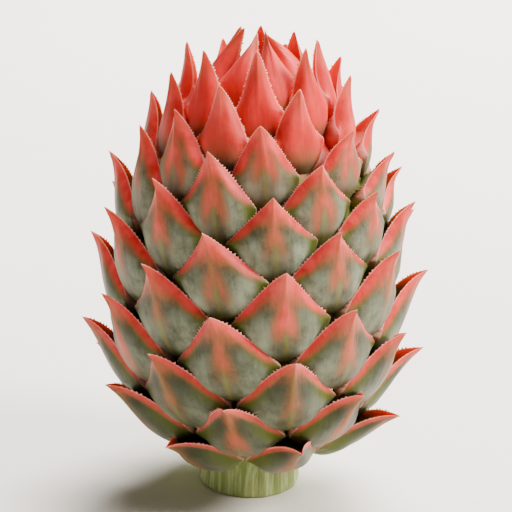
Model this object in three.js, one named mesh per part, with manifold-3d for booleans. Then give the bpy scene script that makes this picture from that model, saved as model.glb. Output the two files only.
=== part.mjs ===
// A young pineapple, as picked: a short cut stem, a fleshy body of fused fruitlets, and the pointed
// bracts that wind round it on one continuous spiral, from a spread collar up to a closed crown bud.
// Millimetres, +Z up. The origin is the middle of the stem's cut face, on which the fruit stands.
// Angle 0 faces -Y and grows towards +X.
import * as THREE from "three";
import { mergeVertices } from "three/addons/utils/BufferGeometryUtils.js";
import Module from "manifold-3d";

// Stem
const STEM_LENGTH = 12; // cut face to the underside of the body
const STEM_RADIUS = 13;
const STEM_CUT_BEVEL = 0.8;

// Body: two half ovals that meet at its widest height
const BODY_RADIUS = 31;
const WIDEST_HEIGHT = 38; // over the top of the stem
const UPPER_OVAL = 58; // from the widest height to the top of the dome
const BASE_STEP = 0.8; // by which the body's underside is wider than the stem
const BODY_SIDES = 40;
const BODY_RINGS = 17;
const DOME_RINGS = 7;

// Spiral: each bract stands DIVERGENCE round from the one before, one CLIMB further up the oval
const OPEN_COUNT = 57; // bracts that stand free. The rest are closed together in the crown bud
const BASE_PLACES = 8.7; // places of the spiral from the body's base up to the lowest bract
const TOP_PLACES = 2.8; // and from the highest bract to the top of the dome
const DIVERGENCE = 47.67; // degrees
const START_ANGLE = -27.2; // degrees, of the lowest bract
const CLIMB = 1.38; // degrees of the upper oval's own angle
const UP_STEPS = 15; // from a bract to the one right above it, two turns further on

// Bract: a scale over its own diamond-shaped cell of the body's surface
const GAP = 0.4; // between neighbouring pieces
const BELLY = 5.6; // lift of the outer face over the body at the middle of a bract
const TIP_LIFT = 13;
const COLLAR_LIFT = 3; // by which the lowest bract's tip stands further out
const COLLAR_COUNT = 12; // bracts over which that fades
const COLLAR_ROOT = 4; // places below the lowest bract where the feet of the collar end
const TIP_REACH = 0.62; // of a cell's height, from its middle up to its tip, for the lowest bract
const REACH_LOSS = 0.0088; // of that reach, from each bract to the next
const LEAST_REACH = 0.1;
const EDGE_GAP_SHARE = 0.035; // of a cell's half width, left free at each side
const CROWN_OVERLAP = 0.16; // of a cell's half width, by which crown bracts run into each other
const SEAT = 0.55; // lift of a bract's inner face where it sits on the body
const ROOT_DEPTH = 0.5; // by which the crown bud's bracts are rooted in its own dome
const ROOT_PLACES = 2; // places above the crown bud's underside where that begins
const CROWN_GAP_PLACES = 0.5; // places of the spiral left free between the body and the crown bud

// Heart: the closed point in the middle of the crown bud
const HEART_RADIUS = 5.5;
const HEART_HEIGHT = 12; // over the top of the dome
const HEART_DEPTH = 3; // of its foot, inside the dome
const HEART_SIDES = 14;

const COLOURS = { bract: 0xc9685a, crown: 0xd8483c, body: 0x8a9440, stem: 0x7d8f45 };

const BODY_BASE = STEM_LENGTH + GAP;
const WIDEST = STEM_LENGTH + WIDEST_HEIGHT;
const { degToRad, radToDeg, clamp } = THREE.MathUtils;
const BASE_NARROWING = (STEM_RADIUS + BASE_STEP) / BODY_RADIUS;
const LOWER_OVAL = (WIDEST - BODY_BASE) / Math.sqrt(1 - BASE_NARROWING ** 2);
const BASE_BELOW_WIDEST = (radToDeg(Math.acos(BASE_NARROWING)) * LOWER_OVAL) / UPPER_OVAL / CLIMB;
const LOWEST_BELOW_WIDEST = BASE_BELOW_WIDEST - BASE_PLACES;
const BRACT_COUNT = Math.round(LOWEST_BELOW_WIDEST + 90 / CLIMB - TOP_PLACES);
const UP_TURN = UP_STEPS * DIVERGENCE - 720; // degrees from a bract to the one right above it
const SIDE_TURN = DIVERGENCE / 2; // degrees from a bract's middle to its side corner

const wasm = await Module();
wasm.setup();

// A point of the oval outline and its outward direction, as [radius, height], at a place on the
// spiral counted in bracts from the lowest one.
function outline(place) {
  const over = place - LOWEST_BELOW_WIDEST;
  const oval = over < 0 ? LOWER_OVAL : UPPER_OVAL;
  const turn = clamp((over * CLIMB * UPPER_OVAL) / oval, -89, 89);
  const [c, s] = [Math.cos(degToRad(turn)), Math.sin(degToRad(turn))];
  const length = Math.hypot(c / BODY_RADIUS, s / oval);
  return {
    point: [BODY_RADIUS * c, WIDEST + oval * s],
    outward: [c / BODY_RADIUS / length, s / oval / length],
  };
}

// A point of the cell of bract number index, moved out by lift over the body. across runs from -1 to
// 1 between the cell's side corners, and up from -0.5 to 0.5 between its lower and upper corners.
function inCell(index, across, up, lift) {
  const angle = degToRad(START_ANGLE + index * DIVERGENCE + across * SIDE_TURN + up * UP_TURN);
  const { point, outward } = outline(index + up * UP_STEPS + across / 2);
  const radius = point[0] + lift * outward[0];
  return [radius * Math.sin(angle), -radius * Math.cos(angle), point[1] + lift * outward[1]];
}

// A closed surface over rings of points, with one point before the first ring and one after the last.
function closedRings(first, rings, last) {
  const around = rings[0].length;
  const points = [first, ...rings.flat(), last];
  const at = (ring, i) => 1 + ring * around + (i % around);
  const faces = [];
  for (let i = 0; i < around; i++) {
    faces.push(0, at(0, i + 1), at(0, i));
    for (let ring = 0; ring + 1 < rings.length; ring++) {
      faces.push(at(ring, i), at(ring, i + 1), at(ring + 1, i + 1));
      faces.push(at(ring, i), at(ring + 1, i + 1), at(ring + 1, i));
    }
    faces.push(points.length - 1, at(rings.length - 1, i), at(rings.length - 1, i + 1));
  }
  const geometry = new THREE.BufferGeometry();
  geometry.setAttribute("position", new THREE.Float32BufferAttribute(points.flat(), 3));
  return geometry.setIndex(faces);
}

// The sections of a bract from its foot towards its point: height in the cell, then the lift of the
// outer face at the midrib, of the thin margin, and of the inner face at the midrib.
const SECTIONS = [
  { up: -0.43, outer: 0.42 * BELLY, margin: 1.0, inner: SEAT },
  { up: -0.25, outer: 0.78 * BELLY, margin: 1.3, inner: SEAT },
  { up: -0.02, outer: BELLY, margin: 1.7, inner: SEAT },
  { up: 0.2, outer: 0.58 * TIP_LIFT, margin: 3.4, inner: 2.8 },
  { up: 0.4, outer: 0.8 * TIP_LIFT, margin: 6.8, inner: 6.4 },
];

// One bract: it swells out over its cell, with a thin margin, a midrib and a lifted point. From the
// place rooted on, it doesn't sit on the surface under it but is rooted in it.
function bractGeometry(index, sideGap, rooted = Infinity) {
  const reach = Math.max(LEAST_REACH, TIP_REACH - REACH_LOSS * index);
  const tipLift = TIP_LIFT + COLLAR_LIFT * Math.max(0, 1 - index / COLLAR_COUNT);
  const lowest = Math.max(-0.5, -(index + COLLAR_ROOT) / UP_STEPS);
  const drawn = (up) => (up < 0 ? up * -2 * lowest : up * clamp(reach / 0.42, 0.3, 1));
  const rings = SECTIONS.map(({ up, outer, margin, inner: free }) => {
    const height = drawn(up);
    const isRooted = free === SEAT && index + height * UP_STEPS > rooted;
    const inner = isRooted ? -ROOT_DEPTH : free;
    const edge = 1 - 2 * Math.abs(up < 0 ? height : up) - sideGap;
    const shoulder = margin + 0.72 * (outer - margin);
    const underside = margin + 0.72 * (inner - margin);
    return [
      inCell(index, -edge, height, margin),
      inCell(index, -edge / 2, height, shoulder),
      inCell(index, 0, height, outer),
      inCell(index, edge / 2, height, shoulder),
      inCell(index, edge, height, margin),
      inCell(index, edge / 2, height, underside),
      inCell(index, 0, height, inner),
      inCell(index, -edge / 2, height, underside),
    ];
  });
  const foot = inCell(index, 0, drawn(-0.43) - 0.04, 0.9);
  return closedRings(foot, rings, inCell(index, 0, reach, tipLift));
}

// A round solid whose outline is a list of [radius, height], which starts and ends on the axis.
function turned(profile, sides) {
  const points = profile.map(([r, z]) => new THREE.Vector2(r, z));
  return new THREE.LatheGeometry(points, sides).rotateX(Math.PI / 2);
}

// The oval outline between two places of the spiral, as a list of [radius, height].
function outlineBetween(from, to, rings) {
  return Array.from({ length: rings }, (_, i) => {
    return outline(from + ((to - from) * i) / (rings - 1)).point;
  });
}

function bodyGeometry() {
  const side = outlineBetween(-BASE_PLACES, OPEN_COUNT, BODY_RINGS);
  const top = side[side.length - 1][1];
  return turned([[0, BODY_BASE], ...side, [0, top]], BODY_SIDES);
}

function stemGeometry() {
  const profile = [
    [0, 0],
    [STEM_RADIUS - STEM_CUT_BEVEL, 0],
    [STEM_RADIUS, STEM_CUT_BEVEL],
    [STEM_RADIUS, STEM_LENGTH],
    [0, STEM_LENGTH],
  ];
  return turned(profile, BODY_SIDES);
}

function solidOf(geometry) {
  const bare = geometry.clone();
  bare.deleteAttribute("normal");
  bare.deleteAttribute("uv");
  const merged = mergeVertices(bare, 1e-3);
  const vertProperties = merged.attributes.position.array;
  const triVerts = new Uint32Array(merged.index.array);
  return new wasm.Manifold(new wasm.Mesh({ numProp: 3, vertProperties, triVerts }));
}

function geometryOf(solid) {
  const mesh = solid.getMesh();
  const geometry = new THREE.BufferGeometry();
  geometry.setAttribute("position", new THREE.BufferAttribute(mesh.vertProperties, 3));
  return geometry.setIndex(new THREE.BufferAttribute(mesh.triVerts, 1));
}

// The dome under the crown bud's bracts, which carries the oval on from the body's top.
function domeGeometry() {
  const side = outlineBetween(OPEN_COUNT + CROWN_GAP_PLACES, BRACT_COUNT, DOME_RINGS);
  return turned([[0, side[0][1]], ...side, [0, WIDEST + UPPER_OVAL]], BODY_SIDES);
}

// The heart of the crown bud: a pointed arch turned round the axis.
function heartGeometry() {
  const top = WIDEST + UPPER_OVAL;
  const profile = [
    [0, top - HEART_DEPTH],
    [HEART_RADIUS, top - HEART_DEPTH],
    [HEART_RADIUS * 0.85, top + HEART_HEIGHT * 0.5],
    [HEART_RADIUS * 0.5, top + HEART_HEIGHT * 0.8],
    [0, top + HEART_HEIGHT],
  ];
  return turned(profile, HEART_SIDES);
}

// The crown bud: the growing tip with the youngest bracts, still pressed together round it, as one
// solid. Its outermost shell is kept, which fills the pockets that the bracts seal between them.
function crownGeometry() {
  const young = [solidOf(domeGeometry()), solidOf(heartGeometry())];
  for (let index = OPEN_COUNT; index < BRACT_COUNT; index++) {
    young.push(solidOf(bractGeometry(index, -CROWN_OVERLAP, OPEN_COUNT + ROOT_PLACES)));
  }
  const shells = young.reduce((bud, bract) => bud.add(bract)).decompose();
  return geometryOf(shells.reduce((largest, shell) => (shell.volume() > largest.volume() ? shell : largest)));
}

const pineapple = new THREE.Group();

function add(name, geometry, colour, roughness) {
  const material = new THREE.MeshStandardMaterial({ color: colour, roughness, metalness: 0 });
  const mesh = new THREE.Mesh(geometry, material);
  mesh.name = name;
  pineapple.add(mesh);
}

add("stem", stemGeometry(), COLOURS.stem, 0.6);
add("fruit_body", bodyGeometry(), COLOURS.body, 0.5);
for (let index = 0; index < OPEN_COUNT; index++) {
  const geometry = bractGeometry(index, EDGE_GAP_SHARE);
  add(`bract_${String(index + 1).padStart(2, "0")}`, geometry, COLOURS.bract, 0.55);
}
add("crown_bud", crownGeometry(), COLOURS.crown, 0.5);

export default pineapple;
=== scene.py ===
"""A young pineapple as picked, standing on its cut stem.

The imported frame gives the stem, the body and the places of the bracts. This script dresses them: every
bract is a fine surface of its own on the same spiral, over a fleshy body and a fibrous stem, on a plain
pale floor in soft studio light. Metres, +Z up. Angle 0 faces -Y and grows towards +X.
"""

import logging
import math
from dataclasses import dataclass, field
from enum import Enum

import bpy
import numpy as np
from mathutils import Matrix, Vector


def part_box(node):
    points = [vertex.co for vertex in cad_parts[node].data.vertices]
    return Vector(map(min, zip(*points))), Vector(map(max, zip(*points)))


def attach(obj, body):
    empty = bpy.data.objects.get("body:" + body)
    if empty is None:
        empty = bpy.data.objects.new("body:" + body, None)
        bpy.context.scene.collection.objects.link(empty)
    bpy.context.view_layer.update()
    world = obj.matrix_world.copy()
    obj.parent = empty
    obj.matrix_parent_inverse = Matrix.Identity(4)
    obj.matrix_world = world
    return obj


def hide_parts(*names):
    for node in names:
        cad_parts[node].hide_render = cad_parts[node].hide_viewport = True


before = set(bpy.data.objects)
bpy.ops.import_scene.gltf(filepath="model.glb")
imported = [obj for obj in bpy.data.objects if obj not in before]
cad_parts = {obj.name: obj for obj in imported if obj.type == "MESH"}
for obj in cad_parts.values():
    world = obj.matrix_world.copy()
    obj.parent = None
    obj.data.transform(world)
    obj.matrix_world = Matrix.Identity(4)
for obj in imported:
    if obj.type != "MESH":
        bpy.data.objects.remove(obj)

LOG = logging.getLogger("pineapple")
MM = 0.001
HABIT_SEED = 4100
TEETH_SEED = 7300
STEM_SEED = 52

Array = np.ndarray
Amount = np.ndarray | float
Triple = tuple[float, float, float]
Colour = tuple[float, float, float, float]
Socket = bpy.types.NodeSocket


def srgb(red: int, green: int, blue: int) -> Colour:
    """Turns an sRGB colour of 0 to 255 into the linear colour that shaders take, with alpha 1."""
    values = [((c / 255 + 0.055) / 1.055) ** 2.4 if c > 10 else c / 255 / 12.92 for c in (red, green, blue)]
    return (*values, 1.0)


def smooth(low: Amount, high: Amount, value: Amount) -> Array:
    """A smooth step: 0 below low, 1 above high, and 3t^2 - 2t^3 between. Falls instead if high < low."""
    t = np.clip((value - low) / (high - low), 0, 1)
    return t * t * (3 - 2 * t)


def bezier(points: list[float], t: Array) -> Array:
    """A Bezier curve in one coordinate: the sum of points weighted by the Bernstein polynomials of t."""
    degree = len(points) - 1
    return sum(
        math.comb(degree, k) * t**k * (1 - t) ** (degree - k) * point for k, point in enumerate(points)
    )


def channels(shape: tuple[int, ...], *values: Amount) -> Array:
    """Spreads up to four values over a grid and stacks them as one colour field. Those left out are 1."""
    filled = [*values, *[1.0] * (4 - len(values))]
    return np.stack([np.broadcast_to(value, shape) for value in filled], axis=-1)


def around_axis(reach: Amount, angle: Amount, height: Amount) -> Array:
    """Points at a reach from the axis, an angle round it and a height, with x, y and z in the last axis."""
    return np.stack(np.broadcast_arrays(reach * np.sin(angle), -reach * np.cos(angle), height), axis=-1)


def smooth_object(name: str, points: Array, faces: list[list[int]]) -> bpy.types.Object:
    """Makes a smooth-shaded object and links it to the scene.

    Args:
        name: The object's name.
        points: The vertices, one in each row.
        faces: The vertices of each face, anticlockwise seen from outside.

    Returns:
        The object, at the origin.
    """
    mesh = bpy.data.meshes.new(name)
    mesh.from_pydata(points.tolist(), [], faces)
    mesh.polygons.foreach_set("use_smooth", np.ones(len(mesh.polygons), dtype=bool))
    piece = bpy.data.objects.new(name, mesh)
    bpy.context.scene.collection.objects.link(piece)
    return piece


@dataclass(frozen=True)
class Oval:
    """The body's outline: two half ellipses that meet at the widest height."""

    radius: float
    widest: float
    upper: float
    lower: float

    def at(self, turn: Array) -> tuple[Array, Array, Array, Array]:
        """The outline and its normal at an eccentric angle.

        radius = R cos(turn) and height = widest + H sin(turn), with H the upper or the lower half height.
        The normal is (cos(turn) / R, sin(turn) / H), made one long.

        Args:
            turn: Radians of the upper ellipse's angle. Below the widest height the angle is stretched by
                upper / lower, so that the height climbs evenly through the joint.

        Returns:
            Radius, height, and the normal's outward and upward parts.
        """
        half = np.where(turn < 0, self.lower, self.upper)
        angle = np.clip(turn * self.upper / half, math.radians(-89), math.radians(89))
        out, up = np.cos(angle) / self.radius, np.sin(angle) / half
        length = np.hypot(out, up)
        return self.radius * np.cos(angle), self.widest + half * np.sin(angle), out / length, up / length


@dataclass(frozen=True)
class Spiral:
    """The one line of bracts: each stands a fixed turn round and a fixed climb up from the one before.

    The eye joins the bracts into 7 rows that rise one way and 8 that rise the other way. A step up one
    row of each kind, 15 bracts on and two turns further, leads to the bract right above.
    """

    oval: Oval
    count: int
    lowest_below_widest: float
    divergence: float = math.radians(47.67)
    climb: float = math.radians(1.38)
    first_angle: float = math.radians(-27.2)
    left_rows: int = 7
    right_rows: int = 8

    @property
    def up_steps(self) -> int:
        """How many bracts further on the one right above stands."""
        return self.left_rows + self.right_rows

    def cell_point(self, number: int, across: Array, up: Array, lift: Array) -> Array:
        """Points over the cell of one bract.

        The cell is a diamond on the body: across runs from -1 to 1 between its side corners and up from
        -0.5 to 0.5 between its lower and upper corners. The place on the spiral is number +
        15 up + across / 2, and the angle turns with across and, a little, with up.

        Args:
            number: The bract's number, 0 for the lowest.
            across: Place across the cell.
            up: Place up the cell.
            lift: Distance over the body's surface, along its normal.

        Returns:
            The points, with x, y and z in the last axis.
        """
        up_turn = self.up_steps * self.divergence - 4 * math.pi
        angle = self.angle(number) + across * self.divergence / 2 + up * up_turn
        radius, height, out, rise = self.oval.at(self.turn(number + up * self.up_steps + across / 2))
        return around_axis(radius + lift * out, angle, height + lift * rise)

    def angle(self, number: int) -> float:
        """A bract's angle round the axis."""
        return self.first_angle + number * self.divergence

    def turn(self, place: Array) -> Array:
        """The oval's eccentric angle at a place counted in bracts from the lowest."""
        return (place - self.lowest_below_widest) * self.climb

    @property
    def cell_height(self) -> float:
        """The height of a cell at the widest place."""
        return self.oval.upper * self.climb * self.up_steps

    def half_cell(self, number: int, up: Array, lift: Array) -> Array:
        """Half the width of a bract's cell at a height and a lift, in metres."""
        radius, _, out, _ = self.oval.at(self.turn(number + up * self.up_steps))
        return (radius + lift * out) * self.divergence / 2


class Slot(Enum):
    """The record's material slots."""

    STEM = "stem"
    FLESH = "flesh"
    BRACT = "bract"
    CROWN = "crown"


class Skin:
    """A closed surface on a grid: rows of one length, each a closed loop, and a point at each end."""

    def __init__(self, rows: Array, first: Array, last: Array) -> None:
        """Keeps the vertices and the grid's shape.

        Args:
            rows: Points, rows by columns by 3. Columns run anticlockwise seen from the last point's side.
            first: The point that closes the first row.
            last: The point that closes the last row.
        """
        self.shape = rows.shape[:2]
        self.vertices = np.vstack([rows.reshape(-1, 3), first, last])

    def faces(self) -> list[list[int]]:
        """The quads between rows and the two fans of triangles, with their outsides out.

        Returns:
            The vertices of each face.
        """
        count, around = self.shape
        index = np.arange(count * around).reshape(count, around)
        after = np.roll(index, -1, axis=1)
        quads = np.stack([index[:-1], after[:-1], after[1:], index[1:]], axis=-1).reshape(-1, 4)
        start, end = count * around, count * around + 1
        low = np.stack([np.full(around, start), after[0], index[0]], axis=-1)
        high = np.stack([np.full(around, end), index[-1], after[-1]], axis=-1)
        return quads.tolist() + low.tolist() + high.tolist()

    def full(self, values: Array) -> Array:
        """Values for every vertex, from values on the grid: the end points take their row's mean."""
        rows = values.reshape(*self.shape, -1)
        return np.vstack([rows.reshape(-1, rows.shape[-1]), rows[0].mean(0), rows[-1].mean(0)])

    def build(
        self, name: str, fields: dict[str, Array], skin_map: Array | None = None
    ) -> bpy.types.Object:
        """Makes the object, with its fields as colour attributes.

        Args:
            name: The piece's name.
            fields: Attribute name to values on the grid, rows by columns by 4.
            skin_map: Optional values on the grid, rows by columns by 2, for the UV map "skin".

        Returns:
            The new object, linked to the scene, at the origin.
        """
        piece = smooth_object(name, self.vertices, self.faces())
        mesh = piece.data
        for title, values in fields.items():
            attribute = mesh.attributes.new(title, "FLOAT_COLOR", "POINT")
            attribute.data.foreach_set("color", self.full(values).astype(np.float32).ravel())
        if skin_map is not None:
            corners = np.empty(len(mesh.loops), dtype=np.int32)
            mesh.loops.foreach_get("vertex_index", corners)
            layer = mesh.uv_layers.new(name="skin")
            layer.data.foreach_set("uv", self.full(skin_map)[corners].astype(np.float32).ravel())
        mesh.update()
        return piece


class Graph:
    """A material's node tree, with short calls for the nodes that the finishes share."""

    def __init__(self, name: str) -> None:
        """Starts a material that holds a Principled shader and its output.

        Args:
            name: The material's name.
        """
        self.material = bpy.data.materials.new(name)
        self.material.use_nodes = True
        self.tree = self.material.node_tree
        self.tree.nodes.clear()
        self.shader = self.tree.nodes.new("ShaderNodeBsdfPrincipled")
        output = self.tree.nodes.new("ShaderNodeOutputMaterial")
        self.tree.links.new(self.shader.outputs["BSDF"], output.inputs["Surface"])

    def put(self, socket: Socket, value: object) -> None:
        """Gives an input its value.

        Args:
            socket: The input.
            value: An output to link, or a plain number, colour or vector to set.
        """
        if isinstance(value, Socket):
            self.tree.links.new(value, socket)
        else:
            socket.default_value = value

    def shade(self, title: str, value: object) -> None:
        """Gives one of the shader's inputs its value."""
        self.put(self.shader.inputs[title], value)

    def math(self, operation: str, first: object, second: object = 0.0, third: object = 0.0) -> Socket:
        """One Math node.

        Args:
            operation: Blender's name for the sum.
            first: The first input.
            second: The second input.
            third: The third input.

        Returns:
            The result.
        """
        node = self.tree.nodes.new("ShaderNodeMath")
        node.operation = operation
        for socket, value in zip(node.inputs, (first, second, third)):
            self.put(socket, value)
        return node.outputs[0]

    def step(
        self, value: object, low: float, high: float, to_low: float = 0.0, to_high: float = 1.0
    ) -> Socket:
        """A smooth step.

        Args:
            value: The value that steps.
            low: Where the step begins.
            high: Where it ends.
            to_low: The result up to low.
            to_high: The result from high on.

        Returns:
            The result.
        """
        node = self.tree.nodes.new("ShaderNodeMapRange")
        node.interpolation_type = "SMOOTHSTEP"
        amounts = {"Value": value, "From Min": low, "From Max": high, "To Min": to_low, "To Max": to_high}
        for title, amount in amounts.items():
            self.put(node.inputs[title], amount)
        return node.outputs["Result"]

    def mix(self, share: object, first: object, second: object) -> Socket:
        """A mix of two colours. The node's inputs 6 and 7 and its output 2 are the ones for colours.

        Args:
            share: How much of the second colour, 0 to 1.
            first: The first colour.
            second: The second colour.

        Returns:
            The mixed colour.
        """
        node = self.tree.nodes.new("ShaderNodeMix")
        node.data_type = "RGBA"
        self.put(node.inputs["Factor"], share)
        self.put(node.inputs[6], first)
        self.put(node.inputs[7], second)
        return node.outputs[2]

    def field(self, title: str) -> dict[str, Socket]:
        """The channels of a colour attribute.

        Args:
            title: The attribute's name.

        Returns:
            The four channels, under "r", "g", "b" and "a".
        """
        node = self.tree.nodes.new("ShaderNodeAttribute")
        node.attribute_name = title
        split = self.tree.nodes.new("ShaderNodeSeparateColor")
        self.put(split.inputs["Color"], node.outputs["Color"])
        red, green, blue = split.outputs
        return {"r": red, "g": green, "b": blue, "a": node.outputs["Alpha"]}

    def place(self, scale: Triple, shift: object = None, skin: bool = False) -> Socket:
        """Coordinates for a pattern.

        Args:
            scale: Waves per metre on object coordinates, or per millimetre on the piece's own skin map.
            shift: Optional amount that moves the pattern, so that no two pieces have it alike.
            skin: Whether to read the skin map, which follows the piece, and not object coordinates.

        Returns:
            The coordinates.
        """
        if skin:
            source = self.tree.nodes.new("ShaderNodeUVMap")
            source.uv_map = "skin"
            vector = source.outputs["UV"]
        else:
            vector = self.tree.nodes.new("ShaderNodeTexCoord").outputs["Object"]
        node = self.tree.nodes.new("ShaderNodeVectorMath")
        node.operation = "MULTIPLY_ADD"
        self.put(node.inputs[0], vector)
        node.inputs[1].default_value = scale
        if shift is not None:
            combine = self.tree.nodes.new("ShaderNodeCombineXYZ")
            for socket in combine.inputs:
                self.put(socket, shift)
            self.put(node.inputs[2], combine.outputs[0])
        return node.outputs[0]

    def noise(self, vector: object, detail: float = 3.0, roughness: float = 0.55) -> Socket:
        """Soft noise, about 0.5 on average.

        Args:
            vector: The coordinates.
            detail: How many finer layers are added.
            roughness: How strong the finer layers are.

        Returns:
            The noise, 0 to 1.
        """
        node = self.tree.nodes.new("ShaderNodeTexNoise")
        self.put(node.inputs["Vector"], vector)
        node.inputs["Scale"].default_value = 1.0
        node.inputs["Detail"].default_value = detail
        node.inputs["Roughness"].default_value = roughness
        return node.outputs["Fac"]

    def cells(self, vector: object) -> Socket:
        """The distance to the nearest of a field of scattered points.

        Args:
            vector: The coordinates.

        Returns:
            The distance, in cells.
        """
        node = self.tree.nodes.new("ShaderNodeTexVoronoi")
        self.put(node.inputs["Vector"], vector)
        node.inputs["Scale"].default_value = 1.0
        return node.outputs["Distance"]

    def bump(self, height: object, distance: float, strength: float) -> None:
        """Adds a relief to the shader's normal.

        Args:
            height: The relief's pattern.
            distance: Its height where the pattern is 1.
            strength: How much of it shows.
        """
        node = self.tree.nodes.new("ShaderNodeBump")
        self.put(node.inputs["Height"], height)
        node.inputs["Distance"].default_value = distance
        node.inputs["Strength"].default_value = strength
        self.shade("Normal", node.outputs["Normal"])

    def flesh(self, weight: float, radius: Triple, scale: float) -> None:
        """Lets light into the tissue.

        Args:
            weight: The share of the light that enters.
            radius: How far red, green and blue spread, in scales.
            scale: One scale in metres.
        """
        self.shade("Subsurface Weight", weight)
        self.shade("Subsurface Radius", radius)
        self.shade("Subsurface Scale", scale)


@dataclass(frozen=True)
class BractFinish:
    """A bract's skin: frosted grey-green cheeks with painted highlight and shade, coral margins, midrib and
    tip with a deeper red as painted shade, olive flanks with painted shade.
    """

    # The bare cheek's dark olive, which is also painted shade where the bloom thins, and the bloom's pale,
    # which is also a painted highlight low on the cheeks.
    shade: Colour = srgb(40, 44, 18)
    frost_and_painted_light: Colour = srgb(138, 146, 122)
    flank: Colour = srgb(76, 86, 20)
    ochre: Colour = srgb(138, 82, 44)
    coral: Colour = srgb(204, 28, 30)
    # A deeper red: painted shade, with the red light bounced between the crown's bracts.
    shaded_coral: Colour = srgb(200, 14, 8)
    pale_coral: Colour = srgb(230, 66, 64)
    mauve: Colour = srgb(140, 80, 74)
    keel: Colour = srgb(122, 112, 50)
    tooth: Colour = srgb(250, 182, 172)
    lining: Colour = srgb(110, 118, 48)
    red_lining: Colour = srgb(206, 62, 50)

    def material(self) -> bpy.types.Material:
        """Builds the material.

        It reads the bract's fields and skin map. The cheeks run from a dark olive, which is also painted
        shade, to a pale bloom, which is also a painted highlight. Over them come the flanks, the keel, the
        blush's ochre fringe, the blush with a deeper red as painted shade, the pale teeth and, on the inner
        face, the lining.

        Returns:
            The material.
        """
        graph = Graph("bract_skin")
        pattern, bloom, build = graph.field("pattern"), graph.field("bloom"), graph.field("build")
        shift = graph.math("MULTIPLY", build["b"], 97.0)
        streaks = graph.noise(graph.place((1.1, 0.16, 1.0), shift, skin=True), 4.0, 0.5)
        brushed = graph.noise(graph.place((3.4, 0.5, 1.0), shift, skin=True), 4.0, 0.6)
        clouds = graph.noise(graph.place((0.28, 0.2, 1.0), shift, skin=True), 3.0, 0.5)
        speckle = graph.noise(graph.place((1500.0, 1500.0, 1500.0)), 2.0)
        # The bloom's share: its pale paints highlights and its thinning paints shade.
        frost_and_light_share = graph.math("MULTIPLY_ADD", streaks, 0.22, graph.math("MULTIPLY", clouds, 0.78))
        frost_and_light_share = graph.math("MULTIPLY_ADD", speckle, 0.14, frost_and_light_share)
        frost_and_light_share = graph.math("MULTIPLY", graph.step(frost_and_light_share, 0.28, 0.82, 0.1, 1.0), bloom["r"])
        cheek = graph.mix(frost_and_light_share, self.shade, self.frost_and_painted_light)
        cheek = graph.mix(graph.math("MULTIPLY", build["g"], 0.5), cheek, self.mauve)
        fray = graph.math("MULTIPLY_ADD", streaks, 0.26, graph.math("MULTIPLY", speckle, 0.2))
        fray = graph.math("SUBTRACT", graph.math("MULTIPLY_ADD", clouds, 0.44, fray), 0.45)
        ragged = graph.math("MULTIPLY_ADD", fray, graph.step(pattern["r"], 0.0, 0.3), pattern["r"])
        # The olive flanks, partly painted shade along the lower margins.
        olive = graph.math("MULTIPLY_ADD", graph.math("SUBTRACT", streaks, 0.5), 0.3, pattern["g"])
        skin = graph.mix(graph.step(olive, 0.1, 0.9), cheek, self.flank)
        skin = graph.mix(graph.math("MULTIPLY", pattern["b"], 0.7), skin, self.keel)
        skin = graph.mix(graph.step(ragged, 0.0, 0.45, 0.0, 0.8), skin, self.ochre)
        coral = graph.mix(graph.step(clouds, 0.35, 0.65), self.coral, self.pale_coral)
        coral = graph.mix(graph.step(brushed, 0.4, 0.75, 0.0, 0.4), coral, self.pale_coral)
        # Painted shade: the deeper red on the crown's bracts.
        coral = graph.mix(graph.math("MULTIPLY", build["a"], 0.8), coral, self.shaded_coral)
        # The ochre, which on the green bracts is partly painted shade.
        coral = graph.mix(graph.math("MULTIPLY", bloom["g"], 0.4), coral, self.ochre)
        skin = graph.mix(graph.step(ragged, 0.2, 1.0), skin, coral)
        skin = graph.mix(graph.math("MULTIPLY", pattern["a"], 0.45), skin, self.tooth)
        red_share = graph.math("MAXIMUM", graph.step(build["g"], 0.0, 0.5), bloom["b"])
        skin = graph.mix(build["r"], skin, graph.mix(red_share, self.lining, self.red_lining))
        graph.shade("Base Color", skin)
        graph.shade("Roughness", graph.step(frost_and_light_share, 0.1, 0.9, 0.48, 0.68))
        graph.shade("Specular IOR Level", 0.22)
        graph.shade("Sheen Weight", 0.06)
        graph.shade("Sheen Roughness", 0.5)
        graph.flesh(0.22, (1.0, 0.42, 0.25), 1.6 * MM)
        graph.bump(graph.math("MULTIPLY_ADD", brushed, 0.7, streaks), 0.2 * MM, 0.5)
        return graph.material


@dataclass(frozen=True)
class FleshFinish:
    """The body's skin between the bracts: a yellow-green darkened as painted shade for the seams it shows
    in, red near the crown.
    """

    # A dark yellow-green: the skin's own colour, darkened as painted shade because it shows only in the
    # shaded seams.
    green: Colour = srgb(98, 114, 30)
    pale: Colour = srgb(146, 158, 58)
    red: Colour = srgb(170, 30, 20)

    def material(self) -> bpy.types.Material:
        """Builds the material, which reads the red channel of the body's field "build" as the blush.

        Returns:
            The material.
        """
        graph = Graph("body_skin")
        build = graph.field("build")
        mottle = graph.noise(graph.place((260.0, 260.0, 160.0)), 4.0)
        skin = graph.mix(graph.step(mottle, 0.35, 0.7), self.green, self.pale)
        skin = graph.mix(build["r"], skin, self.red)
        graph.shade("Base Color", skin)
        graph.shade("Roughness", graph.step(mottle, 0.3, 0.7, 0.45, 0.6))
        graph.flesh(0.25, (1.0, 0.7, 0.3), 1.5 * MM)
        graph.bump(mottle, 0.3 * MM, 0.5)
        return graph.material


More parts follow.
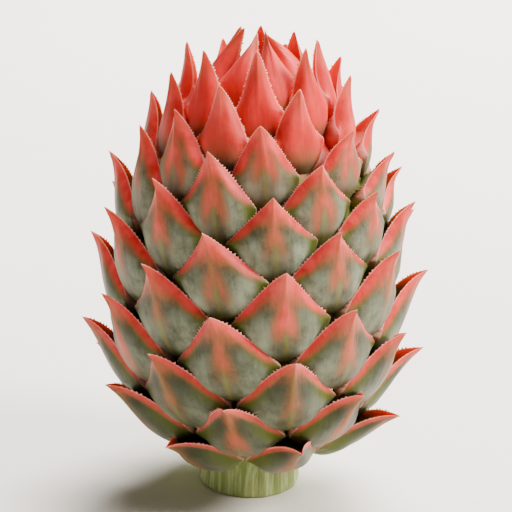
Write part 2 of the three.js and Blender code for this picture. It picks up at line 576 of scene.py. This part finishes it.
@dataclass(frozen=True)
class StemFinish:
    """The stem: a ribbed green rind, and a pale wet cut with the ends of its fibres."""

    rind: Colour = srgb(122, 140, 66)
    rind_pale: Colour = srgb(176, 186, 128)
    cut: Colour = srgb(222, 216, 172)
    cut_green: Colour = srgb(176, 184, 112)
    fibre: Colour = srgb(150, 132, 74)
    patch: Colour = srgb(142, 124, 62)
    rim: Colour = srgb(132, 116, 60)

    def material(self) -> bpy.types.Material:
        """Builds the material, which reads the stem's field "build": red is the cut face, green its rim.

        Returns:
            The material.
        """
        graph = Graph("stem_skin")
        build = graph.field("build")
        fibres = graph.noise(graph.place((900.0, 900.0, 60.0)), 5.0, 0.6)
        patches = graph.noise(graph.place((150.0, 150.0, 90.0)), 3.0)
        rind = graph.mix(graph.step(fibres, 0.38, 0.66), self.rind, self.rind_pale)
        rind = graph.mix(graph.step(patches, 0.5, 0.75, 0.0, 0.45), rind, self.patch)
        bundles = graph.step(graph.cells(graph.place((780.0, 780.0, 50.0))), 0.18, 0.34, 1.0, 0.0)
        pith = graph.mix(graph.step(patches, 0.35, 0.65), self.cut, self.cut_green)
        pith = graph.mix(graph.math("MULTIPLY", bundles, 0.75), pith, self.fibre)
        skin = graph.mix(build["r"], rind, pith)
        skin = graph.mix(graph.math("MULTIPLY", build["g"], 0.5), skin, self.rim)
        graph.shade("Base Color", skin)
        graph.shade("Roughness", graph.step(fibres, 0.3, 0.7, 0.42, 0.62))
        graph.flesh(0.2, (1.0, 0.8, 0.4), 1.5 * MM)
        graph.bump(graph.math("ADD", fibres, graph.math("MULTIPLY", bundles, -0.8)), 0.25 * MM, 0.6)
        return graph.material


@dataclass(frozen=True)
class Habit:
    """How one bract grows.

    Foot and reach are how far its foot and its tip stand below and above its cell's middle, in cells.
    Belly and straightness shape its midrib, and width, sharpness and widest_at its outline. The colours
    are shares, and the last one is the place along the bract at which the deeper red, a painted shade,
    ends.
    """

    foot: float
    reach: float
    tip_lift: float
    belly: float
    straightness: float
    width: float
    sharpness: float
    widest_at: float
    greenness: float
    redness: float
    red_shade_end: float
    ripeness: float
    side_sway: float
    tint: float
    lobes: float
    lobe_end: float


@dataclass(frozen=True)
class Course:
    """A measure that changes up the spiral, in straight lines between its values at a few bracts."""

    numbers: tuple[int, ...]
    values: tuple[float, ...]

    def at(self, number: int) -> float:
        """The measure at a bract."""
        return float(np.interp(number, self.numbers, self.values))


@dataclass(frozen=True)
class Growth:
    """How the bracts change, from number 0 in the spread collar to number 86 in the closed crown.

    The lifts of the tips are in millimetres. Green fades and red grows between the two bracts given.
    """

    foot: Course = Course((0, 40, 56, 86), (0.66, 0.7, 0.92, 0.95))
    reach: Course = Course((0, 31, 46, 61, 76, 86), (0.62, 0.47, 0.26, 0.07, 0.06, 0.4))
    left_stretch: Course = Course((36, 50, 62, 72), (0.0, 0.22, 0.22, 0.0))
    tip_lift: Course = Course((0, 12, 44, 58, 68, 76, 86), (16.0, 13.4, 13.2, 11.0, 12.6, 14.2, 12.0))
    belly: Course = Course((46, 62, 86), (1.0, 0.8, 0.74))
    straightness: Course = Course((46, 66), (0.58, 0.78))
    width: Course = Course((0, 14, 32, 46, 60, 70, 78, 86), (0.96, 0.94, 0.86, 0.82, 0.74, 0.68, 0.85, 1.8))
    sharpness: Course = Course((46, 60, 76, 86), (1.3, 0.9, 0.7, 0.62))
    widest_at: Course = Course((48, 64), (0.5, 0.38))
    # Where the painted shade of deeper red ends, along the bract.
    red_shade_end: Course = Course((66, 78), (0.85, 1.12))
    ripeness: Course = Course((0, 10, 24, 38), (0.25, 0.5, 0.75, 1.0))
    green_fades: tuple[int, int] = (4, 36)
    red_grows: tuple[int, int] = (50, 80)

    def habit(self, number: int, angle: float) -> Habit:
        """The habit of one bract, with a little of its own chance in it, the same at each run.

        Args:
            number: The bract's number, 0 for the lowest.
            angle: Its angle round the axis. Those on the left stretch further up under the crown.

        Returns:
            Its habit.
        """
        chance = np.random.default_rng(HABIT_SEED + number)
        stretch = -math.sin(angle) * self.left_stretch.at(number)
        return Habit(
            foot=self.foot.at(number),
            reach=self.reach.at(number) + stretch + chance.normal(0, 0.015),
            tip_lift=self.tip_lift.at(number) * chance.normal(1, 0.03) * MM,
            belly=self.belly.at(number),
            straightness=self.straightness.at(number),
            width=self.width.at(number) + chance.normal(0, 0.012),
            sharpness=self.sharpness.at(number) + chance.normal(0, 0.03),
            widest_at=self.widest_at.at(number),
            greenness=1 - float(smooth(*self.green_fades, number)),
            redness=float(smooth(*self.red_grows, number)),
            red_shade_end=self.red_shade_end.at(number),
            ripeness=self.ripeness.at(number),
            side_sway=chance.normal(0, 0.04),
            tint=chance.random(),
            lobes=chance.uniform(0.5, 1.0),
            lobe_end=chance.normal(0.0, 0.05),
        )


@dataclass
class Bract:
    """One bract: a fleshy base that fills its cell, and a keeled scale that runs out to a toothed point."""

    spiral: Spiral
    number: int
    rows: int = 120
    outer_columns: int = 31
    inner_columns: int = 15
    foot_width: float = 0.2
    corner_lift: float = 3.6 * MM
    root_depth: float = 0.8 * MM
    flesh_at_rim: float = 2.6 * MM
    flesh_at_tip: float = 0.35 * MM
    margin_thickness: float = 0.15 * MM
    cheek_swell: float = 0.4 * MM
    keel_height: float = 0.4 * MM
    corner_curl: float = 0.8 * MM
    tooth: float = 0.62 * MM
    tooth_out: float = 0.75
    tooth_up: float = 0.65
    rows_per_tooth: int = 3
    habit: Habit = field(init=False)
    along: Array = field(init=False)
    side: Array = field(init=False)
    inner: Array = field(init=False)

    def __post_init__(self) -> None:
        """Works out the habit and the surface's parameters.

        Along is a column of 0 at the foot to nearly 1 at the tip. Side is a row of -1 to 1 over the outer
        face and back over the inner one, closer together at the margins. Inner is 1 on the inner face.
        """
        self.habit = Growth().habit(self.number, self.spiral.angle(self.number))
        self.along = np.linspace(0, 0.985, self.rows)[:, None]
        outer = np.sin(math.pi / 2 * np.linspace(-1, 1, self.outer_columns))
        back = np.sin(math.pi / 2 * np.linspace(1, -1, self.inner_columns))
        self.side = np.concatenate([outer, back])[None, :]
        self.inner = np.repeat([0.0, 1.0], [self.outer_columns, self.inner_columns])[None, :]

    @property
    def name(self) -> str:
        """The piece's name, which is also that of its node in the frame, if it has one there."""
        return f"bract_{self.number + 1:02d}"

    @property
    def lower(self) -> Array:
        """The share of the way from the foot to the corners."""
        return np.clip(self.along / self.habit.widest_at, 0, 1)

    @property
    def upper(self) -> Array:
        """The share of the way from the corners to the tip."""
        return np.clip((self.along - self.habit.widest_at) / (1 - self.habit.widest_at), 0, 1)

    def half_width(self) -> Array:
        """Half the width, in half cells: a V that rounds off at the corners, then a power to the tip.

        Returns:
            Half the width: f + (1 - f) sin(90 degrees t)^1.15 with f the foot's and t the share of the way
            to the corners, then (1 - u)^sharpness with u the share of the rest.
        """
        body = self.foot_width + (1 - self.foot_width) * np.sin(math.pi / 2 * self.lower) ** 1.15
        point = (1 - self.upper) ** self.habit.sharpness
        return self.habit.width * np.where(self.lower < 1, body, point)

    def midrib(self) -> tuple[Array, Array]:
        """The outer face's middle line, a Bezier curve of five points.

        Returns:
            Its place up the cell, in cells, and its lift over the body, in metres.
        """
        foot, tip_up, tip_lift = self.habit.foot, self.habit.reach, self.habit.tip_lift
        up = bezier([-foot, 0.06 - foot, -0.18, tip_up - 0.16, tip_up], self.along)
        belly, below_tip = self.habit.belly * MM, self.habit.straightness * tip_lift
        lift = bezier([0.2 * MM, 6.0 * belly, 8.2 * belly, below_tip, tip_lift], self.along)
        return up, lift

    def outer_lift(self) -> Array:
        """The outer face's lift over the body.

        From the midrib it falls to the margin as 1 - |side|^q, with q from 2.1 on the round cheeks to 1.4
        at the keeled point. The cheeks swell by a squared sine. Keel and curled corners are narrow bells.

        Returns:
            The lift, in metres.
        """
        along, side, low, high = self.along, np.abs(self.side), self.lower, self.upper
        _, middle = self.midrib()
        over_corner = self.corner_lift + (middle - self.corner_lift) * high**1.25
        margin = np.where(low < 1, self.corner_lift * low**1.2, over_corner)
        lift = margin + (middle - margin) * (1 - side ** (2.1 - 0.7 * high))
        swell = smooth(0.1, 0.35, along) * smooth(0.9, 0.6, along)
        lift = lift + self.cheek_swell * swell * np.sin(math.pi * side) ** 2
        keel_rise = smooth(0.3, 0.6, along) * smooth(1.0, 0.9, along)
        lift = lift + self.keel_height * keel_rise * np.exp(-((side / 0.09) ** 2))
        curl = np.exp(-(((along - self.habit.widest_at) / 0.07) ** 2)) * smooth(0.75, 1.0, side)
        return lift + self.corner_curl * curl

    def inner_lift(self) -> Array:
        """The inner face's lift: inside the body under the base, and close behind the scale above it.

        Returns:
            The lift, in metres.
        """
        flesh = (self.flesh_at_rim - self.flesh_at_tip) * smooth(0.95, 0.45, self.along) + self.flesh_at_tip
        scale = self.outer_lift() - self.margin_thickness - flesh * (1 - self.side**2)
        return scale + (-self.root_depth - scale) * smooth(0.62, 0.46, self.along)

    def teeth(self) -> Array:
        """The teeth of the upper margins, one on every third row, longer on green bracts.

        Returns:
            How long the tooth is at each point, in metres.
        """
        chance = np.random.default_rng(TEETH_SEED + self.number)
        on_row = np.arange(self.rows)[:, None] % self.rows_per_tooth == 0
        size = chance.uniform(0.2, 1.0, self.along.shape) * on_row
        first = self.habit.widest_at
        size = size * smooth(first, first + 0.06, self.along) * smooth(1.0, 0.85, self.along)
        return size * (1 + 0.4 * self.habit.greenness) * self.tooth * (np.abs(self.side) > 0.999)

    def points(self) -> Array:
        """The surface's points: the face, its back, the margin's teeth and the tip's sway.

        Returns:
            The points, rows by columns by 3.
        """
        up, _ = self.midrib()
        outer = self.outer_lift()
        lift = outer + self.inner * (self.inner_lift() - outer)
        teeth = self.teeth()
        across = self.side * self.half_width() + self.habit.side_sway * smooth(0.5, 1.0, self.along)
        half_cell = self.spiral.half_cell(self.number, up, lift)
        across = across + self.tooth_out * np.sign(self.side) * teeth / half_cell
        up = up + self.tooth_up * teeth / self.spiral.cell_height
        return self.spiral.cell_point(self.number, across, up, lift)

    def half_span(self) -> Array:
        """Half the width, in millimetres."""
        up, lift = self.midrib()
        return self.half_width() * self.spiral.half_cell(self.number, up, lift) / MM

    def from_middle(self) -> Array:
        """Millimetres from the midrib."""
        return np.abs(self.side) * self.half_span()

    def from_edge(self) -> Array:
        """Millimetres from the margin."""
        return (1 - np.abs(self.side)) * self.half_span()

    def blush(self) -> Array:
        """How red the outer face is: the strongest of four parts.

        A band follows each upper margin, a cap covers the tip, two lobes run down beside the midrib with a
        notch between them, and on the reddest bracts a wash covers all but the foot.

        Returns:
            The share of red, 0 to 1.
        """
        along, middle = self.along, self.from_middle()
        red, green = self.habit.redness, self.habit.greenness
        ripe, rim = self.habit.ripeness, self.habit.widest_at
        band_width = min(5.4 * ripe, 0.6 * self.half_span().max())
        band = smooth(band_width, 0.5 * ripe + red, self.from_edge())
        band = band * smooth(rim - 0.03, rim + 0.12, along)
        cap = smooth(0.52 - 0.1 * red + 0.2 * green, 0.88 - 0.26 * red + 0.06 * green, along) * ripe
        fork = np.clip((0.7 - along) / 0.3, 0, 1)
        reach = 0.8 + 2.6 * fork + 1.2 * red
        end = self.habit.lobe_end - 0.12 * red
        lobes = smooth(reach + 2.6, reach - 2.2, middle) * smooth(0.24 + end, 0.6 + end, along)
        notch = smooth(1.3 * fork + 0.3, 0.2 * fork, middle) * smooth(0.56, 0.36, along)
        lobes = (0.36 + 0.5 * ripe) * self.habit.lobes * lobes - 0.5 * notch
        wash = smooth(0.2, 0.8, red) * smooth(0.3 - 0.32 * red, 0.62 - 0.3 * red, along)
        return np.clip(np.maximum(np.maximum(band, lobes), np.maximum(cap, wash)), 0, 1)

    def flank(self) -> Array:
        """How olive the outer face is: at its corners, along the seams below them and on the foot. The
        seams and the foot, where the bract goes under its neighbours, are partly painted shade.

        Returns:
            The share of olive and painted shade, 0 to 1.
        """
        along, edge = self.along, self.from_edge()
        green, rim = self.habit.greenness, self.habit.widest_at
        corner = smooth(6.2 + 2.0 * green, 0.6, np.hypot(edge, 20 * (along - rim)))
        foot = smooth(0.3 + 0.14 * green, 0.1, along)
        # Along the lower margins and on the foot: the bract's own olive, and painted shade where it goes
        # under its neighbours.
        seam = np.maximum((0.7 + 0.3 * green) * smooth(2.0 + 2.0 * green, 0.2, edge), foot)
        seam = seam * smooth(rim + 0.05, rim - 0.1, along)
        return np.maximum(corner, seam) * (1 - 0.9 * self.habit.redness)

    def keel(self) -> Array:
        """How much of the midrib's pale line shows: a narrow bell that ends short of foot and tip."""
        line = np.exp(-((self.from_middle() / 0.6) ** 2)) * (1 - 0.5 * self.habit.redness)
        return line * smooth(0.12, 0.3, self.along) * smooth(1.02, 0.8, self.along)

    def edge(self) -> Array:
        """How much of the teeth's pale colour shows: along the upper margins and at the very tip."""
        edge = smooth(0.25, 0.0, self.from_edge()) * smooth(-0.12, 0.0, self.along - self.habit.widest_at)
        return np.maximum(edge, smooth(0.95, 0.985, self.along) * 0.8)

    def frost_and_painted_light(self) -> Array:
        """How thick the pale bloom is, with painted light in it: most low on the cheeks, where it is also a
        painted highlight on their bulge, less at the midrib, and less at the margins and on the low green
        bracts, where its thinning is painted shade.

        Returns:
            The share of bloom and painted highlight, 0 to 1.
        """
        # Most low on the cheeks: the bloom, and a painted highlight on their bulge.
        frost_and_painted_light = smooth(0.12, 0.3, self.along) * smooth(0.8, 0.35, self.along)
        frost_and_painted_light = frost_and_painted_light * (0.55 + 0.45 * smooth(0.1, 0.45, np.abs(self.side)))
        # Painted shade: the bloom thins on the low green bracts, which are also darker in themselves.
        frost_and_painted_light = frost_and_painted_light * (1 - 0.42 * self.habit.greenness)
        # Painted shade: the bloom thins towards the margins, where the bract goes under its neighbours, and
        # there is also less bloom there.
        return frost_and_painted_light * (0.35 + 0.65 * smooth(0.2, 3.0, self.from_edge()))

    def ochre(self) -> Array:
        """How brown the red is: down the point's middle, and all over the green bracts, where it is partly
        painted shade.
        """
        bell = np.exp(-((self.from_middle() / (1.2 + 1.5 * self.upper)) ** 2))
        # On the green bracts the brown is partly painted shade.
        return np.maximum(bell * smooth(0.55, 0.8, self.along), 0.6 * self.habit.greenness)

    def painted_red_shade(self) -> Array:
        """Painted shade: a deeper red on the reddest bracts, for their shade and the red light bounced
        between them, up to where it ends.
        """
        end = self.habit.red_shade_end
        return smooth(end, end - 0.5, self.along) * self.habit.redness

    def fields(self) -> dict[str, Array]:
        """The colour fields: what shows on the skin, what lies over it, and how the bract is built.

        Returns:
            "pattern" (blush, flank with painted shade, keel, edge), "bloom" (frost with painted highlight
            and shade, ochre with painted shade, tip) and "build" (inner face, redness, tint, painted red
            shade).
        """
        shape = np.broadcast_shapes(self.along.shape, self.side.shape)
        tip = smooth(0.6, 0.9, self.along)
        return {
            "pattern": channels(shape, self.blush(), self.flank(), self.keel(), self.edge()),
            "bloom": channels(shape, self.frost_and_painted_light(), self.ochre(), tip),
            "build": channels(shape, self.inner, self.habit.redness, self.habit.tint, self.painted_red_shade()),
        }

    def build(self, material: bpy.types.Material, cad_nodes: set[str]) -> bpy.types.Object:
        """Makes the piece, with its fields and a skin map in millimetres, and ties it to the frame.

        Args:
            material: The bracts' finish.
            cad_nodes: The names of the frame's nodes.

        Returns:
            The piece.
        """
        rows = self.points()
        middle = rows[:, self.outer_columns // 2]
        steps = np.linalg.norm(np.diff(middle, axis=0), axis=1)
        length = np.concatenate([[0], np.cumsum(steps)])[:, None]
        tip = middle[-1] + (middle[-1] - middle[-2])
        skin_map = np.stack(np.broadcast_arrays(self.side * self.half_span(), length / MM), axis=-1)
        piece = Skin(rows, rows[0].mean(axis=0), tip).build(self.name, self.fields(), skin_map)
        piece.data.materials.append(material)
        own = self.name in cad_nodes
        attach(piece, "root")
        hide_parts(self.name if own else "crown_bud")
        return piece


@dataclass
class FruitBody:
    """The fleshy body: the oval turned round the axis, with a low swelling under each bract."""

    spiral: Spiral
    base_turn: float
    around: int = 192
    rows: int = 150
    swelling: float = 0.5 * MM

    def build(self, material: bpy.types.Material) -> bpy.types.Object:
        """Makes the body.

        The oval's outline turns round the axis. The product of two cosines, one across each family of the
        spiral's rows, swells each cell a little.

        Args:
            material: The body's finish.

        Returns:
            The piece.
        """
        turn = np.linspace(self.base_turn, math.radians(88), self.rows)[:, None]
        angle = np.linspace(0, 2 * math.pi, self.around, endpoint=False)[None, :]
        radius, height, out, rise = self.spiral.oval.at(turn)
        place = turn / self.spiral.climb
        left = np.cos(self.spiral.left_rows * angle + 2 * math.pi * place / self.spiral.up_steps)
        right = np.cos(self.spiral.right_rows * angle - 2 * math.pi * place / self.spiral.up_steps)
        lift = self.swelling * left * right
        rows = around_axis(radius + lift * out, angle, height + lift * rise)
        build = channels(rows.shape[:2], smooth(0.6, 0.85, turn))
        first = np.array([0, 0, rows[0, :, 2].mean()])
        last = np.array([0, 0, rows[-1, :, 2].mean() + 0.3 * MM])
        piece = Skin(rows, first, last).build("fruit_body_skin", {"build": build})
        piece.data.materials.append(material)
        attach(piece, "root")
        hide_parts("fruit_body", "crown_bud")
        return piece


@dataclass
class Stem:
    """The stem stub: ribbed, a little waisted, spread at the top, and cut straight across at z = 0."""

    radius: float
    top: float
    spread: float = 1.2 * MM
    bevel: float = 0.8 * MM
    ribs: int = 17
    rib_depth: float = 0.35 * MM
    waist: float = 0.3 * MM
    roughness: float = 0.03 * MM
    around: int = 204

    def build(self, material: bpy.types.Material) -> bpy.types.Object:
        """Makes the stem.

        The outline runs out over the cut face, round its edge, up the side and in over the top. The ribs
        are a cosine round the axis, and fade on the cut face.

        Args:
            material: The stem's finish.

        Returns:
            The piece.
        """
        face = np.linspace(0.04, 1, 26) * (self.radius - self.bevel)
        bend = np.linspace(0, math.pi / 2, 7)[1:]
        edge_radius = self.radius - self.bevel + self.bevel * np.sin(bend)
        edge_height = self.bevel * (1 - np.cos(bend))
        rise = np.linspace(0, 1, 36)[1:]
        side_radius = self.radius + self.spread * rise**3 - self.waist * np.sin(math.pi * rise)
        side_height = self.bevel + (self.top - self.bevel) * rise
        close = np.linspace(1, 0.1, 6)[1:]
        radius = np.concatenate([face, edge_radius, side_radius, close * side_radius[-1]])[:, None]
        height = np.concatenate([0 * face, edge_height, side_height, 0 * close + self.top])[:, None]
        angle = -np.linspace(0, 2 * math.pi, self.around, endpoint=False)[None, :]
        on_side = smooth(0.0, 2.5 * MM, height)
        chance = np.random.default_rng(STEM_SEED)
        wave = np.cos(self.ribs * angle + 0.8 * np.sin(3 * angle)) + 0.5 * np.cos(5 * angle + 1)
        fade = (0.25 + 0.75 * on_side) * np.clip(radius / self.radius, 0, 1) ** 3
        radius = radius + self.rib_depth * wave * fade
        radius = radius + chance.normal(0, self.roughness, angle.shape) * on_side
        rows = around_axis(radius, -angle, height)
        cut = smooth(0.3 * MM, 0.0, height)
        rim = smooth(0.86, 0.97, radius / self.radius) * smooth(1.2 * MM, 0.0, height)
        build = channels(rows.shape[:2], cut, rim)
        piece = Skin(rows, np.zeros(3), np.array([0, 0, self.top])).build("stem_skin", {"build": build})
        piece.data.materials.append(material)
        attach(piece, "root")
        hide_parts("stem")
        return piece


@dataclass(frozen=True)
class Lamp:
    """A square soft light: its middle, its side, its watts, its tint and the point it looks at."""

    name: str
    place: Triple
    size: float
    power: float
    tint: Triple
    target: Triple = (0.0, 0.0, 0.07)

    def add(self) -> None:
        """Puts the light into the scene."""
        light = bpy.data.lights.new(self.name, "AREA")
        light.size, light.energy, light.color = self.size, self.power, self.tint
        lamp = bpy.data.objects.new(self.name, light)
        turn = (Vector(self.target) - Vector(self.place)).to_track_quat("-Z", "Y").to_matrix().to_4x4()
        lamp.matrix_world = Matrix.Translation(self.place) @ turn
        bpy.context.scene.collection.objects.link(lamp)


@dataclass(frozen=True)
class Studio:
    """The plain pale floor, the soft light and the camera, with its sensor and lens in millimetres."""

    aim_height: float = 69 * MM
    distance: float = 445 * MM
    elevation: float = math.radians(16)
    roll: float = math.radians(2)
    sensor_width: float = 36.0
    focal_length: float = 122.836
    below_centre: float = 6.9 * MM
    floor_reach: float = 2.5
    rim_height: float = 1.5
    floor_colour: Colour = srgb(219, 214, 205)
    floor_grain: Colour = srgb(222, 217, 209)
    key: Lamp = Lamp("key", (1.75, -0.35, 1.5), 0.9, 132.0, (1.0, 0.96, 0.91))
    back: Lamp = Lamp("back", (0.3, 1.0, 1.4), 1.0, 146.0, (1.0, 0.98, 0.96), (0.0, 0.6, 0.0))
    fill: Lamp = Lamp("fill", (-1.6, -1.0, 0.6), 1.4, 0.3, (0.96, 0.98, 1.0))
    sky_colour: Colour = srgb(240, 238, 234)
    sky_strength: float = 0.08

    def floor(self) -> None:
        """Makes a round floor that runs up into a rim all round, through a quarter circle."""
        bend = np.linspace(0, math.pi / 2, 20)
        level = np.linspace(0.02, self.floor_reach - 0.1, 12)
        reach = np.concatenate([level, self.floor_reach + self.rim_height * np.sin(bend)])[:, None]
        rise = np.concatenate([0 * level, self.rim_height * (1 - np.cos(bend))])[:, None]
        angle = np.linspace(0, 2 * math.pi, 96, endpoint=False)[None, :]
        points = np.stack([reach * np.cos(angle), reach * np.sin(angle), rise + 0 * angle], axis=-1)
        index = np.arange(points.shape[0] * points.shape[1]).reshape(points.shape[:2])
        after = np.roll(index, -1, axis=1)
        quads = np.stack([index[:-1], index[1:], after[1:], after[:-1]], axis=-1).reshape(-1, 4)
        piece = smooth_object("floor", points.reshape(-1, 3), [*quads.tolist(), index[0].tolist()])
        graph = Graph("floor_paint")
        grain = graph.noise(graph.place((60.0, 60.0, 60.0)), 2.0)
        graph.shade("Base Color", graph.mix(grain, self.floor_colour, self.floor_grain))
        graph.shade("Roughness", 0.8)
        piece.data.materials.append(graph.material)

    def lights(self) -> None:
        """Adds a key light from the upper right, one from behind, a weak fill and a pale sky."""
        for lamp in (self.key, self.back, self.fill):
            lamp.add()
        world = bpy.data.worlds.new("sky")
        world.use_nodes = True
        sky = world.node_tree.nodes["Background"]
        sky.inputs["Color"].default_value = self.sky_colour
        sky.inputs["Strength"].default_value = self.sky_strength
        bpy.context.scene.world = world

    def camera(self) -> None:
        """Sets the camera, which looks a little down on the fruit from the front."""
        lens = bpy.data.cameras.new("camera")
        lens.sensor_width, lens.lens = self.sensor_width, self.focal_length
        lens.clip_start = 0.01
        camera = bpy.data.objects.new("camera", lens)
        back = Vector((0, -math.cos(self.elevation), math.sin(self.elevation)))
        rise = Vector((0, math.sin(self.elevation), math.cos(self.elevation)))
        spot = Vector((0, 0, self.aim_height)) + back * self.distance
        aim = Vector((0, 0, self.aim_height)) - rise * self.below_centre
        turn = (aim - spot).to_track_quat("-Z", "Y").to_matrix().to_4x4()
        camera.matrix_world = Matrix.Translation(spot) @ turn @ Matrix.Rotation(self.roll, 4, "Z")
        bpy.context.scene.collection.objects.link(camera)
        bpy.context.scene.camera = camera


@dataclass(frozen=True)
class Pineapple:
    """The whole fruit: its sizes from the frame, and its pieces in order.

    The lowest bract stands base_places up the spiral from the body's base, and the highest one
    top_places short of the oval's top.
    """

    widest: float = 50 * MM
    upper_oval: float = 58 * MM
    base_step: float = 0.8 * MM
    stem_overlap: float = 0.2 * MM
    base_places: float = 8.7
    top_places: float = 2.8

    def spiral(self) -> Spiral:
        """The body's oval and the line of bracts on it, from the frame's body and stem.

        The base is base_step wider than the stem. With n its share of the widest radius, the lower half
        oval's height is the base's depth under the widest height, over sqrt(1 - n^2).

        Returns:
            The spiral.
        """
        low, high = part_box("fruit_body")
        _, stem_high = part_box("stem")
        radius = high[0]
        narrowing = (stem_high[0] + self.base_step) / radius
        lower_oval = (self.widest - low[2]) / math.sqrt(1 - narrowing**2)
        below = math.acos(narrowing) * lower_oval / self.upper_oval / Spiral.climb - self.base_places
        count = round(below + math.pi / 2 / Spiral.climb - self.top_places)
        return Spiral(Oval(radius, self.widest, self.upper_oval, lower_oval), count, below)

    def build(self) -> list[bpy.types.Object]:
        """Makes every piece.

        Returns:
            The pieces, in order.
        """
        spiral = self.spiral()
        base_turn = -(spiral.lowest_below_widest + self.base_places) * spiral.climb
        _, stem_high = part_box("stem")
        body_low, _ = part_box("fruit_body")
        stem = Stem(radius=stem_high[0], top=body_low[2] + self.stem_overlap)
        pieces = [
            stem.build(StemFinish().material()),
            FruitBody(spiral, base_turn).build(FleshFinish().material()),
        ]
        skin = BractFinish().material()
        nodes = set(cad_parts)
        pieces += [Bract(spiral, number).build(skin, nodes) for number in range(spiral.count)]
        return pieces


def main() -> None:
    """Builds the fruit, the floor, the light and the camera."""
    logging.basicConfig(level=logging.INFO, format="%(name)s: %(message)s")
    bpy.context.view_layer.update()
    for piece in Pineapple().build():
        LOG.info("%s: %d faces", piece.name, len(piece.data.polygons))
    studio = Studio()
    studio.floor()
    studio.lights()
    studio.camera()


if __name__ == "__main__":
    main()
